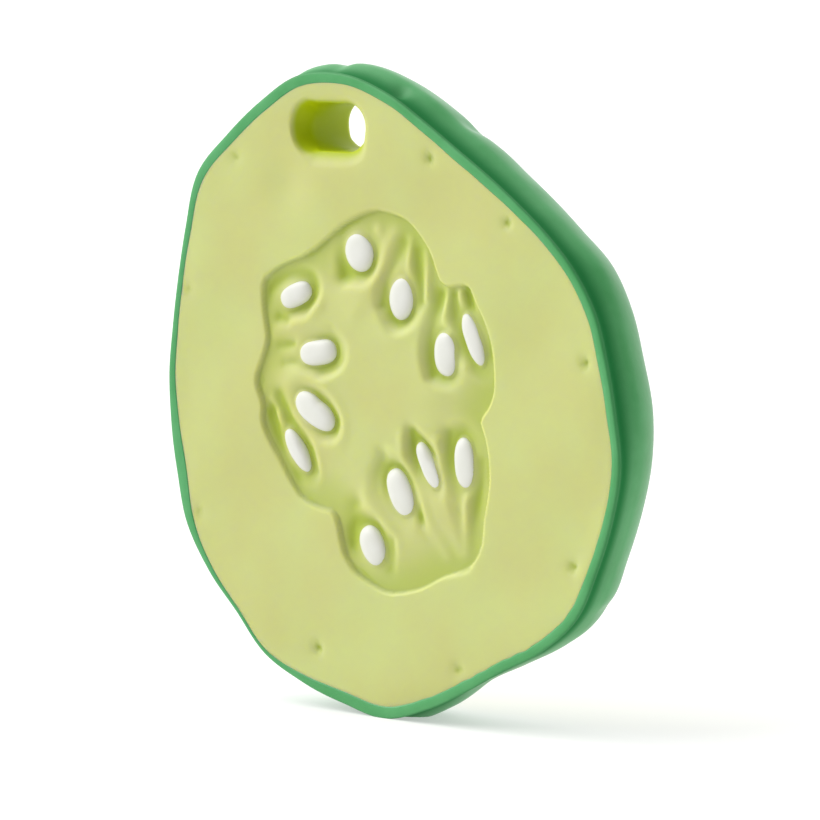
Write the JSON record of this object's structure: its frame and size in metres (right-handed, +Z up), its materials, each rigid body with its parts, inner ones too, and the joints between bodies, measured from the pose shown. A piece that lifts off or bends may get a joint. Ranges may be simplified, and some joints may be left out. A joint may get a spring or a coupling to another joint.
{
  "type": "cucumber slice teether",
  "caption": "Flat teether in the shape of a cucumber slice, moulded in one piece in soft rubber, with raised seeds on both faces, a painted rim and an oblong finger hole.",
  "frame": {"origin": "on the standing surface, under the middle of the slice", "axes": "+X to the right seen from the front, -Y the way the front face looks, +Z up"},
  "size_m": [0.0898, 0.0127, 0.0984],
  "materials": {
    "pale_rubber": "satin moulded natural rubber, pale yellow-green",
    "green_rim_paint": "thin satin coat of dark green paint on the rubber rim",
    "white_seed_paint": "thin satin coat of white paint on the rubber seeds"
  },
  "bodies": {
    "root": {"teether_body": "pale_rubber"}
  },
  "joints": []
}
